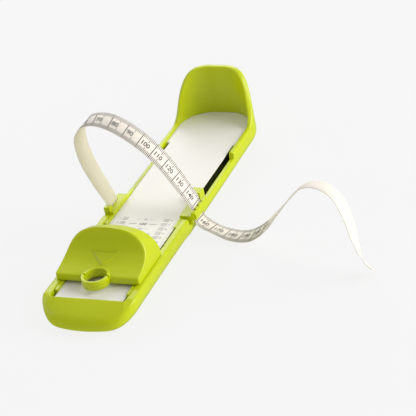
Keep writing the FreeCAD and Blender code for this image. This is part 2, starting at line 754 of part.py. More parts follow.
# ---------------------------------------------------------------- build, check and write
PIECES = [
    tray(), scale_plate(), base_cover(), cover_screws(),
    toe_slider(), reading_ring(), joining_plate("slider_keeper", "keeper_front", "keeper_back"),
    left_tape_clamp(), right_tape_guide(), joining_plate("carriage_bridge", "bridge_front", "bridge_back"),
    tape_pin(), tape_loop(), tape_free_end(),
]
doc.recompute()
failed = [item.Name for item in doc.Objects if "Invalid" in item.State or "Error" in item.State]
if failed:
    raise RuntimeError(f"failed: {failed}")
for piece in PIECES:
    if piece.Shape.isNull() or not piece.Shape.isValid():
        raise RuntimeError(f"{piece.Label} has no valid shape")
os.makedirs("parts", exist_ok=True)
for piece in PIECES:
    piece.Shape.exportStep(f"parts/{piece.Label}.step")
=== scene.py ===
"""The looks of a toddler's foot measuring device: a lime tray, its toe stop and its tape.

Sizes are in millimetres here and turned to metres where a mesh is made. X is across, Y runs
from the nose (-) to the heel (+) and Z is up from the table. The scale plate's top is the
level that the foot stands on.
"""

import math

import bmesh
import bpy
import numpy as np
from mathutils import Matrix, Vector


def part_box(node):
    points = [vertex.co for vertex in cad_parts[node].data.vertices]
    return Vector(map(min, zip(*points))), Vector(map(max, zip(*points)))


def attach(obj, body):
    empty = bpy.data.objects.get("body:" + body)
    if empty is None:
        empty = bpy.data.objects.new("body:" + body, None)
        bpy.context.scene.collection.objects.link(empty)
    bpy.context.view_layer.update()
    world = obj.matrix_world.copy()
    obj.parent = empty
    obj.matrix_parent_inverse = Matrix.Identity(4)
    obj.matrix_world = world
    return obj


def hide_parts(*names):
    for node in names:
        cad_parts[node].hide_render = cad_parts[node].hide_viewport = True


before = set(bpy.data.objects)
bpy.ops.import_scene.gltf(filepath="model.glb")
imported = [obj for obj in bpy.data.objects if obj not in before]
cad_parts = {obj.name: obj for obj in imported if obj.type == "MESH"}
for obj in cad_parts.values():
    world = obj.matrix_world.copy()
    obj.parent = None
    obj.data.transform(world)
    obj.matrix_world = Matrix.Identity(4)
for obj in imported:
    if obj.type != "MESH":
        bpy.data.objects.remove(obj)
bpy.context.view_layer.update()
MM = 0.001

# ---------------------------------------------------------------- camera
IMAGE_WIDTH = 416
FOCAL_PIXELS = 2102.23
SENSOR_WIDTH = 36.0
VIEW_REACH = 20.0           # in metres
CAMERA_PLACE = (530.9, -946.0, 633.1)
CAMERA_RIGHT = (0.91411, 0.36431, -0.17799)
CAMERA_DOWN = (0.04657, -0.53041, -0.84646)
CAMERA_AHEAD = (-0.40278, 0.76547, -0.50182)


def make_camera():
    data = bpy.data.cameras.new("camera")
    data.sensor_width = SENSOR_WIDTH
    data.lens = FOCAL_PIXELS / IMAGE_WIDTH * SENSOR_WIDTH
    data.clip_end = VIEW_REACH
    camera = bpy.data.objects.new("camera", data)
    bpy.context.scene.collection.objects.link(camera)
    right, up, back = Vector(CAMERA_RIGHT), -Vector(CAMERA_DOWN), -Vector(CAMERA_AHEAD)
    turn = Matrix((right, up, back)).transposed().to_4x4()
    camera.matrix_world = Matrix.Translation(Vector(CAMERA_PLACE) * MM) @ turn
    bpy.context.scene.camera = camera


# ---------------------------------------------------------------- tray sizes (mm)
# levels, from the foot down to the pan that the slots open onto
PLATE_TOP = 13.5
DECK_TOP = 12.5
DECK_BOTTOM = 10.3
PAN_FLOOR = 7.2

# the outline from above, which narrows from the nose to the heel
TRAY_FRONT = -116.0
TRAY_BACK = 115.5
NOSE_HALF = 29.2
HEEL_HALF = 26.1
NOSE_CORNER = 18.0
NOSE_CORNER_END = -100.0    # the nose's corners are fitted to the width here
NOSE_TILT = 12.0            # degrees that the bowed front edge has turned where a corner starts
HEEL_CORNER = 21.5

# the well between the walls, which holds the deck, the plate and the sliding pieces
WELL_FRONT = -101.5
WELL_BACK = 111.1
WELL_HALF = 23.6
WELL_HEEL_CORNER = 19.0
WELL_NOSE_SPREAD = 1.12     # the well's front edge as a share of the nose's

# the rails' tops: high at the nose, low where the carriage rides, high again, then the heel's rim
RAIL_TOP = 15.4
FAR_RAIL_TOP = 15.0
LOW_RAIL_TOP = 10.8
LOW_RAIL_FRONT = -17.0
LOW_RAIL_BACK = 60.0
STEP_LENGTH = 1.6
HEEL_RIM = [(84.0, 15.0), (91.5, 15.9), (97.7, 21.0), (102.4, 30.0), (106.4, 37.2),
            (110.3, 42.5), (113.0, 44.8), (115.5, 45.9)]

# the slots beside the plate, which the sliding pieces reach down through
SLOT_INNER = 21.3
SLOT_FRONT = -98.0
SLOT_BACK = 71.3
DECK_UNDERCUT = 4.0         # the deck is set back under the plate, so that the slots look dark
DECK_HEEL_REACH = 4.0       # how far the deck runs on into the heel's round end

# the wall's section along the sides, along their fore part, at the nose and at the heel
BELLY_IN = {"side": 9.5, "fore": 13.0, "nose": 10.0}    # how far under the rounded bottom goes
BELLY_UP = {"side": 9.0, "fore": 11.5, "nose": 6.5}     # and how far up the outside
OUTER_ROUND = {"side": 1.6, "fore": 2.2, "heel": 2.0, "nose": 5.5}
INNER_ROUND = {"side": 0.7, "heel": 1.6}
NOSE_OUTER_TOP = 9.6        # the nose's top slopes down from the well to this height
FORE_END = -70.0            # up to here the section is wholly the fore one
SIDE_START = 40.0           # and from here wholly the side one
HEEL_START, HEEL_FULL = 80.0, 100.0
WALL_SHARE = 0.45           # the outer rounding takes at most this share of the wall

# how finely the wall is swept round the plan
NOSE_STEPS = 12
CORNER_STEPS = 24
SIDE_STATIONS = 64
CORNER_MARGIN = 2.0
STEP_STATIONS = 9
STEP_MARGIN = 0.4
HEEL_STEPS = 40
HEEL_SHARES = (0.66, 0.33, 0.0)
BELLY_STEPS = 10
OUTER_STEPS, INNER_STEPS = 7, 6

# the rebate for the cover under the tray, and what counts as the pan's floor
COVER_GAP = 0.15
CUT_BELOW = -5.0
FLAT_ENOUGH = 0.05
FACES_UP = 0.9

# ---------------------------------------------------------------- toe stop sizes (mm)
# the shield: a crowned block with a dished face towards the nose
SLIDER_FRONT = -85.9
SLIDER_PEAK = -62.9
SLIDER_BACK = -53.5
SLIDER_HALF = 26.2
SLIDER_BASE = 15.7
SLIDER_EDGE = 1.1
MIDDLE_INSET = 1.8          # the even stations start this far from both ends
PEAK_TOP = 37.9
BACK_TOP = 34.4
RIDGE_RISE = 1.0            # the crown's middle over the peak's height
RIDGE_BLEND = 1.6           # how widely the dished face rounds over into the crown
SHOULDER_TOP = 33.5
SHOULDER_RADIUS = 19.0
CROWN_RADIUS = 45.0
# how finely the outline and the way along it are drawn
SIDE_POINTS, SHOULDER_POINTS, CROWN_POINTS = 14, 26, 12
EDGE_POINTS, MIDDLE_POINTS = 5, 64
DISH = [(-86.0, 19.5), (-81.0, 20.6), (-76.4, 21.8), (-71.8, 23.8), (-68.3, 26.6),
        (-65.6, 31.0), (-63.6, 36.6), (-62.2, 41.6), (-60.0, 50.0)]    # (along, height)

# the runners in the slots, and the deeper feet that the keeper holds
RUNNER_FRONT = -94.8
RUNNER_BACK = -56.0
RUNNER_TOP = 15.0
RUNNER_SIDES = (21.5, 23.4)
RUNNER_BELOW = 0.3          # how far a runner reaches below the deck
RUNNER_EDGE = 0.25
FOOT_ENDS = (-83.0, -65.0)
FOOT_BELOW = 2.7
NECK_INSET = 1.0            # the neck joins a runner to the shield and starts inside both
NECK_INTO_SHIELD = 0.5

# the raised outline of a triangle on the dished face
ARROW_CORNERS = [(-8.0, -69.2), (8.4, -69.0), (0.4, -77.0)]
ARROW_HALF = 0.55
ARROW_RISE = 0.6
ARROW_SINK = 0.15
ARROW_SLANT = 1.4           # widens the sides, whose width runs aslant, towards the middle
ARROW_STEPS = 12

# the reading ring
RING_CENTRE = -86.7
RING_RADIUS = 8.4
RING_WALL = 1.8
RING_TOP = 21.3
RING_FLOOR = 15.5
RING_EDGE = 0.45
RING_STEPS, SEAT_STEPS = 96, 64
RIM_STEPS = 5
SEAT_HEIGHT = 60.0          # the ring's seat is cut up through the whole shield
SLIT_WIDTH = 1.1
SLIT_DEPTH = 1.8
SLIT_REACH = 12
SLIT_ABOVE = 3

# ---------------------------------------------------------------- tape (mm)
TAPE_WIDTH = 12.0
TAPE_THICKNESS = 0.45
TAPE_EDGE = 0.15
STRIP_STEP = 0.8
LINE_STEPS = 24             # how finely the smooth line is worked out
# the loop stands upright across the tray at this place: its points (across, up) run from the
# clamp over the foot to the guide, and the free end's points (across, along, up) go on from there
LOOP_PLACE = -6.5
TAPE_LOOP = [
    (-25.4, 13.2), (-25.4, 18.2), (-28.2, 25.6), (-32.0, 34.6), (-35.5, 44.6), (-37.3, 54.6),
    (-37.2, 64.0), (-33.2, 71.6), (-25.2, 75.3), (-14.8, 73.9), (-3.6, 67.0), (6.8, 57.6),
    (15.0, 46.8), (21.2, 35.4), (25.8, 26.6), (29.2, 20.4), (29.2, 12.6),
]
TAPE_FREE = [
    (30.7, -6.9, 8.4), (35.0, -7.6, 5.8), (42.4, -9.1, 3.4), (52.9, -11.5, 1.8),
    (65.0, -14.5, 4.4), (76.8, -17.2, 13.2), (89.0, -20.0, 27.4), (100.6, -23.0, 41.2),
    (110.2, -25.6, 49.0), (120.8, -28.6, 50.6), (130.0, -31.8, 46.0), (135.5, -34.8, 34.6),
    (138.5, -37.4, 22.0), (141.0, -39.4, 13.2), (144.2, -41.0, 7.6), (149.0, -42.4, 4.8),
]
# how far the tape has turned about its own line, in degrees, at a share of its length
TAPE_TWIST = [
    (0.0, 0.0), (0.012, 0.0), (0.06, -9.0), (0.11, -13.0), (0.15, -12.0), (0.18, -2.0),
    (0.205, 9.0), (0.245, 20.0), (0.28, 20.0), (0.33, 15.0), (0.39, 12.0), (0.44, 5.0),
    (0.46, 0.0), (0.49, 0.0), (0.52, -8.0), (0.56, 0.0), (0.61, 8.0), (0.66, 6.0), (0.70, 0.0),
    (0.75, -4.0), (0.80, -15.0), (0.84, -12.0), (0.88, -3.0), (0.922, -4.0), (0.95, -15.0),
    (0.972, -31.0), (1.0, -37.0),
]

# the tape's print: a mark each millimetre, longer at the fives, right across at the tens
READING_AT_CLAMP = -0.4
FIRST_MARK = 12
LAST_MARK = 212
TENS_WIDTH = 0.5
LINE_WIDTH = 0.34
FIVES_REACH = 4.0
LINE_REACH = 2.6
MARK_MARGIN = 0.1
NUMERAL_GAP = 0.8
DIGIT_HEIGHT = 2.95
DIGIT_WEIGHT = 0.024        # how much the strokes are thickened, as a share of the height
CAPITAL_SHARE = 0.7         # a numeral's height as a share of its font's size
NUMERAL_STEPS = 3
INK_LIFT = 0.03
BAR_STEP = 2                # a long mark is cut this often, so that it bends with the tape

# ---------------------------------------------------------------- plate print (mm)
# rows each 5 mm, read back from the heel
ROW_PITCH = 5
FIRST_ROW = 95
LAST_ROW = 165
FIRST_ROW_PLACE = -16.5
# a row's numeral height, half its marks' thickness, and where the marks start and end
STRONG_ROW = (2.3, 0.16, 4.0, 9.0)
FAINT_ROW = (1.5, 0.1, 2.6, 6.0)
# a hatched block for each shoe size, with the smaller numbering of sizes on the left
FIRST_SIZE = 18
LAST_SIZE = 29
LEFT_SIZE_LESS = 15
SIZE_PITCH = 4.6
SIZE_ACROSS = 13.4
HATCH_HALF = 1.8
HATCH_LINES = 3
HATCH_PITCH = 1.2
HATCH_LINE = (-1.4, -0.95)  # the first line's edges from the block's middle
SIZE_NUMERAL = 1.0
SIZE_NUMERAL_OUT = 3.2

# ---------------------------------------------------------------- edges
SHARP_ANGLE = 40.0          # an edge that turns by more degrees than this shows as a crease
TRAY_SHARP = 35.0
ROUND_SHARP = 50.0
ARROW_SHARP = 60.0
EDGE_ANGLE = 30.0           # an edge that turns by more than this is rounded
EDGE_SEGMENTS = 3
CARRIAGE_EDGE = 0.35
FLAT_ANGLE = 1.0
HAIR = 0.02                 # keeps two faces apart that would lie in one plane
# points nearer to each other than this become one, in metres
SAME_POINT = 1e-6
AXIS_POINT = 1e-7


# ---------------------------------------------------------------- small helpers
def linear(code):
    """An sRGB hex colour as linear red, green, blue and alpha."""
    parts = [int(code[i:i + 2], 16) / 255 for i in (1, 3, 5)]
    return [c / 12.92 if c <= 0.04045 else ((c + 0.055) / 1.055) ** 2.4 for c in parts] + [1.0]


def smooth_step(low, high, value):
    share = min(max((value - low) / (high - low), 0.0), 1.0)
    return share * share * (3 - 2 * share)


def mix(first, second, share):
    return first + (second - first) * share


def smooth_through(points, place):
    """A smooth curve's height at a place, through points in order."""
    xs, ys = zip(*points)
    if place <= xs[0]:
        return ys[0]
    if place >= xs[-1]:
        return ys[-1]
    slopes = list(np.gradient(ys, xs))
    i = max(n for n in range(len(xs) - 1) if xs[n] <= place)
    span = xs[i + 1] - xs[i]
    u = (place - xs[i]) / span
    return ((2 * u ** 3 - 3 * u ** 2 + 1) * ys[i] + (u ** 3 - 2 * u ** 2 + u) * span * slopes[i]
            + (3 * u ** 2 - 2 * u ** 3) * ys[i + 1] + (u ** 3 - u ** 2) * span * slopes[i + 1])


def eased(knots, place):
    """A value that eases from knot to knot and never passes beyond them."""
    for (low, first), (high, second) in zip(knots, knots[1:]):
        if place <= high:
            return mix(first, second, smooth_step(low, high, place))
    return knots[-1][1]


def soft_min(first, second, reach):
    """The lower of two heights, rounded where they cross."""
    gap = max(reach - abs(first - second), 0.0) / reach
    return min(first, second) - gap * gap * reach / 4


def bend(start, corner, end, count):
    """A rounded corner between two points, without its end point."""
    return [tuple((1 - u) ** 2 * a + 2 * u * (1 - u) * b + u * u * c
                  for a, b, c in zip(start, corner, end)) for u in np.arange(count) / count]


def link(name, mesh, *materials):
    for material in materials:
        mesh.materials.append(material)
    piece = bpy.data.objects.new(name, mesh)
    bpy.context.scene.collection.objects.link(piece)
    return piece


def shade(mesh, sharp_angle=SHARP_ANGLE):
    mesh.shade_smooth()
    mesh.set_sharp_from_angle(angle=math.radians(sharp_angle))


def mesh_of(name, points, faces, sharp_angle=SHARP_ANGLE, weld=None):
    """A mesh from points in mm, with its faces turned outwards and near points joined by weld."""
    mesh = bpy.data.meshes.new(name)
    mesh.from_pydata([Vector(p) * MM for p in points], [], faces)
    form = bmesh.new()
    form.from_mesh(mesh)
    if weld:
        bmesh.ops.remove_doubles(form, verts=form.verts, dist=weld)
    bmesh.ops.recalc_face_normals(form, faces=form.faces)
    form.to_mesh(mesh)
    form.free()
    shade(mesh, sharp_angle)
    return mesh


def swept_mesh(name, rows, sharp_angle, closed_way, closed_row, weld=None):
    """A skin over rows of points. Where the way or the rows aren't closed, a face closes them."""
    count, size = len(rows), len(rows[0])
    faces = []
    for row in range(count if closed_way else count - 1):
        here, there = row * size, (row + 1) % count * size
        for spot in range(size if closed_row else size - 1):
            beyond = (spot + 1) % size
            faces.append((here + spot, there + spot, there + beyond, here + beyond))
    if not closed_way:
        faces += [list(range(size)), list(range((count - 1) * size, count * size))]
    if not closed_row:
        faces += [list(range(first, count * size, size)) for first in (0, size - 1)]
    return mesh_of(name, [point for row in rows for point in row], faces, sharp_angle, weld)


def block_mesh(name, blocks):
    """One mesh of plain blocks, each ((x, x), (y, y), (z, z)) in mm."""
    points, faces = [], []
    for xs, ys, zs in blocks:
        base = len(points)
        points += [(x, y, z) for z in zs for y in ys for x in xs]
        faces += [[base + n for n in face] for face in
                  ((0, 2, 3, 1), (4, 5, 7, 6), (0, 1, 5, 4), (1, 3, 7, 5), (3, 2, 6, 7),
                   (2, 0, 4, 6))]
    return mesh_of(name, points, faces)


def bevel(piece, width):
    modifier = piece.modifiers.new("edges", "BEVEL")
    modifier.width = width * MM
    modifier.segments = EDGE_SEGMENTS
    modifier.angle_limit = math.radians(EDGE_ANGLE)
    return piece


def softened_copy(name, node, width, material):
    """A piece with a node's flat faces joined up and its edges rounded, which replaces the node."""
    form = bmesh.new()
    form.from_mesh(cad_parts[node].data)
    bmesh.ops.remove_doubles(form, verts=form.verts, dist=SAME_POINT)
    bmesh.ops.dissolve_limit(form, angle_limit=math.radians(FLAT_ANGLE), verts=form.verts,
                             edges=form.edges)
    mesh = bpy.data.meshes.new(name)
    form.to_mesh(mesh)
    form.free()
    shade(mesh)
    piece = bevel(link(name, mesh, material), width)
    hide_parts(node)
    return piece


def finished_mesh(piece):
    """The mesh that a piece comes out as, once its modifiers or its curve have been worked out."""
    bpy.context.view_layer.update()
    graph = bpy.context.evaluated_depsgraph_get()
    return bpy.data.meshes.new_from_object(piece.evaluated_get(graph))


def curve_mesh(data):
    """The mesh that a curve or a text comes out as, with no object left behind."""
    holder = bpy.data.objects.new(data.name, data)
    bpy.context.scene.collection.objects.link(holder)
    mesh = finished_mesh(holder)
    bpy.data.objects.remove(holder)
    return mesh


def cut_away(piece, tool_mesh, sharp_angle):
    """Take the shape of another mesh out of a piece."""
    tool = link("cutting_tool", tool_mesh)
    modifier = piece.modifiers.new("cut", "BOOLEAN")
    modifier.object = tool
    modifier.operation = "DIFFERENCE"
    mesh = finished_mesh(piece)
    piece.modifiers.clear()
    piece.data = mesh
    shade(mesh, sharp_angle)
    bpy.data.objects.remove(tool)


# ---------------------------------------------------------------- materials
FLOW_SIZE = 45              # the width of a colour's faint drift, in mm
RELIEF_DEPTH = 0.05         # in mm


def add_node(tree, kind, settings, **links):
    """A node, its settings by socket or property name, its inputs linked from other sockets."""
    node = tree.nodes.new(kind)
    for key, value in settings.items():
        if key in node.inputs:
            node.inputs[key].default_value = value
        else:
            setattr(node, key, value)
    for key, source in links.items():
        tree.links.new(source, node.inputs[key.replace("_", " ")])
    return node


def new_material(name):
    material = bpy.data.materials.new(name)
    material.use_nodes = True
    tree = material.node_tree
    shader = tree.nodes["Principled BSDF"]
    place = add_node(tree, "ShaderNodeTexCoord", {}).outputs["Object"]
    return material, tree, shader, place


def fine_grained(name, light, dark, roughness, grain_mm, bump):
    """A solid colour that drifts faintly from place to place, over a fine raised grain."""
    material, tree, shader, place = new_material(name)
    flow = add_node(tree, "ShaderNodeTexNoise", {"Scale": 1 / (FLOW_SIZE * MM), "Detail": 2.0},
                    Vector=place)
    colours = add_node(tree, "ShaderNodeMix", {"data_type": "RGBA"}, Factor=flow.outputs["Fac"])
    colours.inputs["A"].default_value = linear(dark)
    colours.inputs["B"].default_value = linear(light)
    tree.links.new(colours.outputs["Result"], shader.inputs["Base Color"])
    grain = add_node(tree, "ShaderNodeTexNoise", {"Scale": 1 / (grain_mm * MM), "Detail": 3.0},
                     Vector=place)
    relief = add_node(tree, "ShaderNodeBump", {"Strength": bump, "Distance": RELIEF_DEPTH * MM},
                      Height=grain.outputs["Fac"])
    tree.links.new(relief.outputs["Normal"], shader.inputs["Normal"])
    shader.inputs["Roughness"].default_value = roughness
    shader.inputs["IOR"].default_value = 1.53
    return material, shader


def lime_abs():
    """Lime ABS, moulded and left glossy: clean broad highlights, a little light in the walls."""
    material, shader = fine_grained("lime_abs", "#ccd803", "#c3cf00",
                                    roughness=0.3, grain_mm=0.9, bump=0.12)
    shader.inputs["Subsurface Weight"].default_value = 0.12
    shader.inputs["Subsurface Radius"].default_value = (0.6, 0.9, 0.1)
    shader.inputs["Subsurface Scale"].default_value = 2.0 * MM
    shader.inputs["Specular IOR Level"].default_value = 0.4
    return material


def pan_abs():
    """Painted shade: ABS coloured dull and nearly black on the pan's floor, standing in for the
    deep shade under the slots, seen only as dark strips through them.
    """
    return fine_grained("pan_abs", "#3c430f", "#32380c",
                        roughness=0.6, grain_mm=0.9, bump=0.12)[0]


def white_styrene():
    """White polystyrene sheet, rolled smooth: a soft satin with almost no grain."""
    return fine_grained("white_styrene", "#f3f0e9", "#eeeae2",
                        roughness=0.5, grain_mm=1.2, bump=0.05)[0]


def woven_tape(name, light, dark):
    """Coated glass-fibre tape: a matt coat, pebbled at the size of the threads, 0.5 mm."""
    material, shader = fine_grained(name, light, dark, roughness=0.55, grain_mm=0.5, bump=0.25)
    shader.inputs["Sheen Weight"].default_value = 0.08
    return material


def print_ink(name, code):
    """Screen-printed ink: a dry matt film of one colour with a slightly uneven face."""
    return fine_grained(name, code, code, roughness=0.6, grain_mm=0.35, bump=0.1)[0]


def zinc_steel():
    """Zinc-plated steel: a dull grey metal whose gloss is broken up by the plating's fine grain."""
    material, tree, shader, place = new_material("zinc_steel")
    grain = add_node(tree, "ShaderNodeTexNoise", {"Scale": 1 / (0.4 * MM), "Detail": 4.0},
                     Vector=place)
    spread = add_node(tree, "ShaderNodeMapRange", {"To Min": 0.28, "To Max": 0.5},
                      Value=grain.outputs["Fac"])
    tree.links.new(spread.outputs["Result"], shader.inputs["Roughness"])
    shader.inputs["Base Color"].default_value = linear("#b9bbbd")
    shader.inputs["Metallic"].default_value = 1.0
    return material


LIME = lime_abs()
# the pan's floor colour: near-black painted shade, so that the slots read dark
PAN_PAINTED_SHADE = pan_abs()
WHITE = white_styrene()
TAPE_FACE = woven_tape("tape_face", "#f3ebdf", "#ede5d7")
TAPE_BACK = woven_tape("tape_back", "#e6dfc6", "#dcd4b8")
TAPE_INK = print_ink("tape_ink", "#2b2825")
PLATE_INK = print_ink("plate_ink", "#4a4845")
PALE_INK = print_ink("pale_plate_ink", "#9f9c97")
ZINC = zinc_steel()


# ---------------------------------------------------------------- tray
def half_width(along):
    return mix(NOSE_HALF, HEEL_HALF, (along - TRAY_FRONT) / (TRAY_BACK - TRAY_FRONT))


def rail_top(along):
    """The rail's height: high, low between the two steps, high again, then the heel's rim."""
    low = (smooth_step(LOW_RAIL_FRONT, LOW_RAIL_FRONT + STEP_LENGTH, along)
           * (1 - smooth_step(LOW_RAIL_BACK - STEP_LENGTH, LOW_RAIL_BACK, along)))
    high = mix(RAIL_TOP, FAR_RAIL_TOP, smooth_step(LOW_RAIL_FRONT, LOW_RAIL_BACK, along))
    high = max(high, smooth_through(HEEL_RIM, along))
    return mix(high, LOW_RAIL_TOP, low)


def rim_stations():
    """Round the tray's right half, nose to heel: outer point, outward direction, inner point."""
    stations = []
    tilt = math.radians(NOSE_TILT)
    corner_x = half_width(NOSE_CORNER_END) - NOSE_CORNER * (1 - math.sin(tilt))
    bow = corner_x * math.tan(tilt) / 2
    centre_x = corner_x - NOSE_CORNER * math.sin(tilt)
    corner_y = TRAY_FRONT + bow + NOSE_CORNER * math.cos(tilt)
    for step in range(NOSE_STEPS):
        share = step / NOSE_STEPS
        x = corner_x * share
        out = (math.sin(tilt * share), -math.cos(tilt * share))
        inner = (x * WELL_NOSE_SPREAD, WELL_FRONT)
        stations.append(((x, TRAY_FRONT + bow * share ** 2), out, inner))
    for step in range(CORNER_STEPS + 1):
        angle = mix(tilt - math.pi / 2, 0.0, step / CORNER_STEPS)
        out = (math.cos(angle), math.sin(angle))
        outer = (centre_x + NOSE_CORNER * out[0], corner_y + NOSE_CORNER * out[1])
        # the well's own corner is square: across its front first, then back along its side
        turns = 2 * step / CORNER_STEPS
        inner = (mix(corner_x * WELL_NOSE_SPREAD, WELL_HALF, min(turns, 1.0)),
                 mix(WELL_FRONT, corner_y, max(turns - 1.0, 0.0)))
        stations.append((outer, out, inner))
    heel_centre = TRAY_BACK - HEEL_CORNER
    places = list(np.linspace(corner_y + CORNER_MARGIN, heel_centre - CORNER_MARGIN,
                              SIDE_STATIONS))
    for step_place in (LOW_RAIL_FRONT, LOW_RAIL_BACK - STEP_LENGTH):
        places += list(np.linspace(step_place - STEP_MARGIN,
                                   step_place + STEP_LENGTH + STEP_MARGIN, STEP_STATIONS))
    for along in sorted(places):
        stations.append(((half_width(along), along), (1.0, 0.0), (WELL_HALF, along)))
    wide = half_width(heel_centre)
    for step in range(HEEL_STEPS + 1):
        angle = math.radians(90 * step / HEEL_STEPS)
        out = (math.cos(angle), math.sin(angle))
        outer = (wide - HEEL_CORNER + HEEL_CORNER * out[0], heel_centre + HEEL_CORNER * out[1])
        inner = (WELL_HALF - WELL_HEEL_CORNER + WELL_HEEL_CORNER * out[0],
                 WELL_BACK - WELL_HEEL_CORNER + WELL_HEEL_CORNER * out[1])
        stations.append((outer, out, inner))
    for share in HEEL_SHARES:
        outer = ((wide - HEEL_CORNER) * share, TRAY_BACK)
        inner = ((WELL_HALF - WELL_HEEL_CORNER) * share, WELL_BACK)
        stations.append((outer, (0.0, 1.0), inner))
    return stations


def wall_profile(outer, out, inner):
    """The wall's section at one station, from the underside up the outside and down the inside."""
    along = outer[1]
    nose = 1 - smooth_step(TRAY_FRONT, TRAY_FRONT + NOSE_CORNER, along)
    fore = 1 - smooth_step(FORE_END, SIDE_START, along)
    heel = smooth_step(HEEL_START, HEEL_FULL, along)
    belly_in = mix(mix(BELLY_IN["side"], BELLY_IN["fore"], fore), BELLY_IN["nose"], nose)
    belly_up = mix(mix(BELLY_UP["side"], BELLY_UP["fore"], fore), BELLY_UP["nose"], nose)
    round_outer = mix(OUTER_ROUND["side"], OUTER_ROUND["fore"], fore)
    round_outer = mix(mix(round_outer, OUTER_ROUND["heel"], heel), OUTER_ROUND["nose"], nose)
    round_inner = mix(INNER_ROUND["side"], INNER_ROUND["heel"], heel)
    top = rail_top(along)
    outer_top = mix(top, NOSE_OUTER_TOP, nose)
    belly_up = min(belly_up, outer_top - round_outer)
    thick = math.dist(outer, inner)
    to_inner = ((inner[0] - outer[0]) / thick, (inner[1] - outer[1]) / thick)
    lean = (top - outer_top) / thick
    # each point is a depth into the wall, a height, and the way that the depth is measured in
    section = []
    for step in range(BELLY_STEPS + 1):
        angle = math.radians(90 * step / BELLY_STEPS)
        section.append((belly_in * (1 - math.sin(angle)), belly_up * (1 - math.cos(angle)),
                        out, -1))
    reach = min(round_outer, thick * WALL_SHARE)
    turns = bend((0, outer_top - round_outer), (0, outer_top), (reach, outer_top + reach * lean),
                 OUTER_STEPS)
    turns += bend((thick - round_inner, top - round_inner * lean), (thick, top),
                  (thick, top - round_inner), INNER_STEPS)
    section += [(depth, height, to_inner, 1) for depth, height in turns]
    section += [(thick, top - round_inner, to_inner, 1), (thick, PAN_FLOOR, to_inner, 1)]
    return [(outer[0] + depth * way[0] * sign, outer[1] + depth * way[1] * sign, height)
            for depth, height, way, sign in section]


def make_tray():
    """The moulded shell: one wall swept round, closed below and by the pan's floor, which is
    painted near-black as shade.
    """
    right = [wall_profile(*station) for station in rim_stations()]
    left = [[(-x, y, z) for x, y, z in row] for row in reversed(right[1:-1])]
    mesh = swept_mesh("tray_shell", right + left, TRAY_SHARP, closed_way=True, closed_row=False)
    shell = link("tray_shell", mesh, LIME)
    low, high = (Vector(corner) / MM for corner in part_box("base_cover"))
    rebate = [(low[k] - COVER_GAP, high[k] + COVER_GAP) for k in (0, 1)]
    rebate.append((CUT_BELOW, high[2]))
    cut_away(shell, block_mesh("cover_rebate", [rebate]), TRAY_SHARP)
    # the pan's flat floor, seen through the slots, gets the near-black material: painted shade
    shell.data.materials.append(PAN_PAINTED_SHADE)
    for face in shell.data.polygons:
        level = abs(face.center.z / MM - PAN_FLOOR) < FLAT_ENOUGH
        face.material_index = int(level and face.normal.z > FACES_UP)
    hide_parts("tray")
    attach(shell, "base")


def make_deck():
    """The deck under the scale plate, narrow between the slots."""
    narrow = SLOT_INNER - DECK_UNDERCUT
    heel_end = WELL_BACK - WELL_HEEL_CORNER + DECK_HEEL_REACH
    levels = (DECK_BOTTOM, DECK_TOP - HAIR)
    blocks = [((-narrow, narrow), (SLOT_FRONT, SLOT_BACK), levels)]
    for ends in ((WELL_FRONT + HAIR / 2, SLOT_FRONT), (SLOT_BACK, heel_end)):
        blocks.append(((-WELL_HALF, WELL_HALF), ends, levels))
    deck = link("tray_deck", block_mesh("tray_deck", blocks), LIME)
    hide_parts("tray")
    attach(deck, "base")


# ---------------------------------------------------------------- toe stop
def shield_outline():
    """The toe stop's outline from the front, bottom left over the crown to bottom right."""
    ridge = PEAK_TOP + RIDGE_RISE
    slope = math.atan2(ridge - SHOULDER_TOP, SLIDER_HALF)
    turn = math.pi / 2 - slope
    side_end = SHOULDER_TOP - SHOULDER_RADIUS * math.tan(turn / 2)
    centre_x = SLIDER_HALF - SHOULDER_RADIUS
    right = [(SLIDER_HALF, mix(SLIDER_BASE, side_end, n / SIDE_POINTS))
             for n in range(SIDE_POINTS)]
    right += [(centre_x + SHOULDER_RADIUS * math.cos(a), side_end + SHOULDER_RADIUS * math.sin(a))
              for a in np.linspace(0, turn, SHOULDER_POINTS)]
    rise = math.tan(slope)
    crown_reach = CROWN_RADIUS * math.sin(slope)
    crown_centre = ridge - rise * crown_reach - CROWN_RADIUS * math.cos(slope)
    for x in np.linspace(right[-1][0], 0, CROWN_POINTS)[1:]:
        round_top = crown_centre + math.sqrt(CROWN_RADIUS ** 2 - x ** 2)
        right.append((x, ridge - rise * x if x > crown_reach else round_top))
    return [(-x, z) for x, z in right] + list(reversed(right[:-1]))


def dish(along):
    """The height of the dished face, from the lip up to the crown."""
    return smooth_through(DISH, along)


def crown_share(along):
    """How much of the outline's height is left behind the peak, where the crown slopes down."""
    back = (BACK_TOP - SLIDER_BASE) / (PEAK_TOP + RIDGE_RISE - SLIDER_BASE)
    share = min(max((along - SLIDER_PEAK) / (SLIDER_BACK - SLIDER_PEAK), 0.0), 1.0)
    return mix(1.0, back, share)


